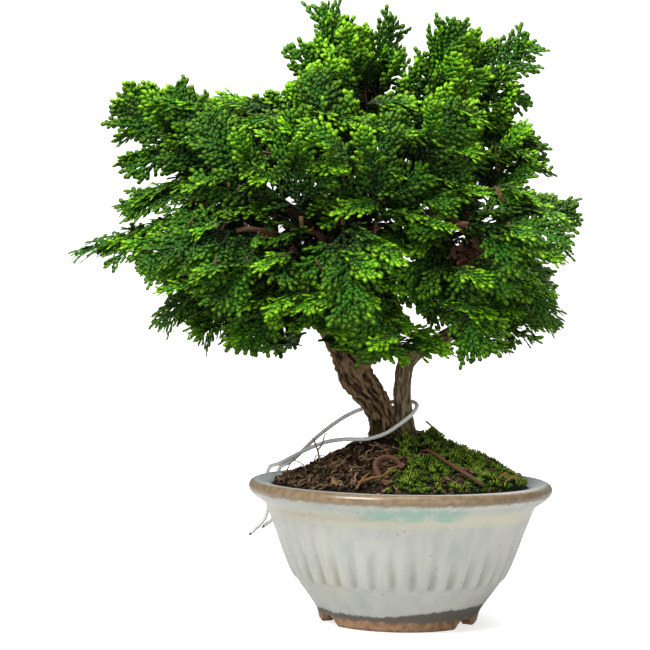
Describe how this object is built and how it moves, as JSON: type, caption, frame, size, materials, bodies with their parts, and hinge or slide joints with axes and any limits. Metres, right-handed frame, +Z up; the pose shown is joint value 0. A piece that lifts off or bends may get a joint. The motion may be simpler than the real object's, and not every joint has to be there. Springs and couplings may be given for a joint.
{
  "type": "hinoki cypress bonsai in a pot",
  "caption": "Small twin-trunk cypress bonsai with fan-shaped scale-leaf sprays, mossy soil and a looped tie wire, in a round fluted glazed pot on three feet.",
  "frame": {"origin": "bottom centre of the whole object's box, on the surface that the pot stands on; the pot's own axis is 31 mm to +X of it, because the crown leans to the left", "axes": "+Z up, front towards -Y, +X to the right as seen from the front"},
  "size_m": [0.1896, 0.1158, 0.2337],
  "materials": {
    "glaze": "semi-gloss pale grey-celadon stoneware glaze, tan where thin, over bare orange-tan clay at the foot",
    "soil": "dark crumbly soil with dead leaf litter",
    "moss": "short bright green cushion moss",
    "bark": "matt flaking grey and reddish brown bark",
    "root": "matt reddish brown root bark",
    "wire": "satin white plastic coat on wire",
    "screen": "dark moulded plastic mesh",
    "foliage": "satin scale leaves, deep green with bright yellow-green tips"
  },
  "bodies": {
    "root": {"pot": "glaze", "drain_screen": "screen", "soil": "soil", "moss": "moss", "tree": "bark", "surface_root_hoop": "root", "surface_root_long": "root", "tie_wire": "wire", "spray_crown_1": "foliage", "spray_crown_2": "foliage", "spray_plume_left_1": "foliage", "spray_plume_left_2": "foliage", "spray_plume_left_3": "foliage", "spray_plume_right_1": "foliage", "spray_plume_right_2": "foliage", "spray_plume_right_3": "foliage", "spray_high_left_1": "foliage", "spray_left_1": "foliage", "spray_left_upper_1": "foliage", "spray_left_lower_1": "foliage", "spray_low_left_1": "foliage", "spray_right_upper_1": "foliage", "spray_right_upper_2": "foliage", "spray_right_middle_1": "foliage", "spray_right_middle_2": "foliage", "spray_right_lower_1": "foliage", "spray_front_top_1": "foliage", "spray_front_high_left_1": "foliage", "spray_front_high_right_1": "foliage", "spray_front_high_right_2": "foliage", "spray_front_centre_left_1": "foliage", "spray_front_centre_right_1": "foliage", "spray_front_left_1": "foliage", "spray_front_left_2": "foliage", "spray_front_right_1": "foliage", "spray_front_middle_1": "foliage", "spray_front_low_left_1": "foliage", "spray_front_low_1": "foliage", "spray_front_low_right_1": "foliage", "spray_front_inner_right_1": "foliage", "spray_back_top_1": "foliage", "spray_back_high_left_1": "foliage", "spray_back_high_right_1": "foliage", "spray_back_left_1": "foliage", "spray_back_right_1": "foliage", "spray_back_middle_1": "foliage", "spray_back_low_1": "foliage"}
  },
  "joints": []
}
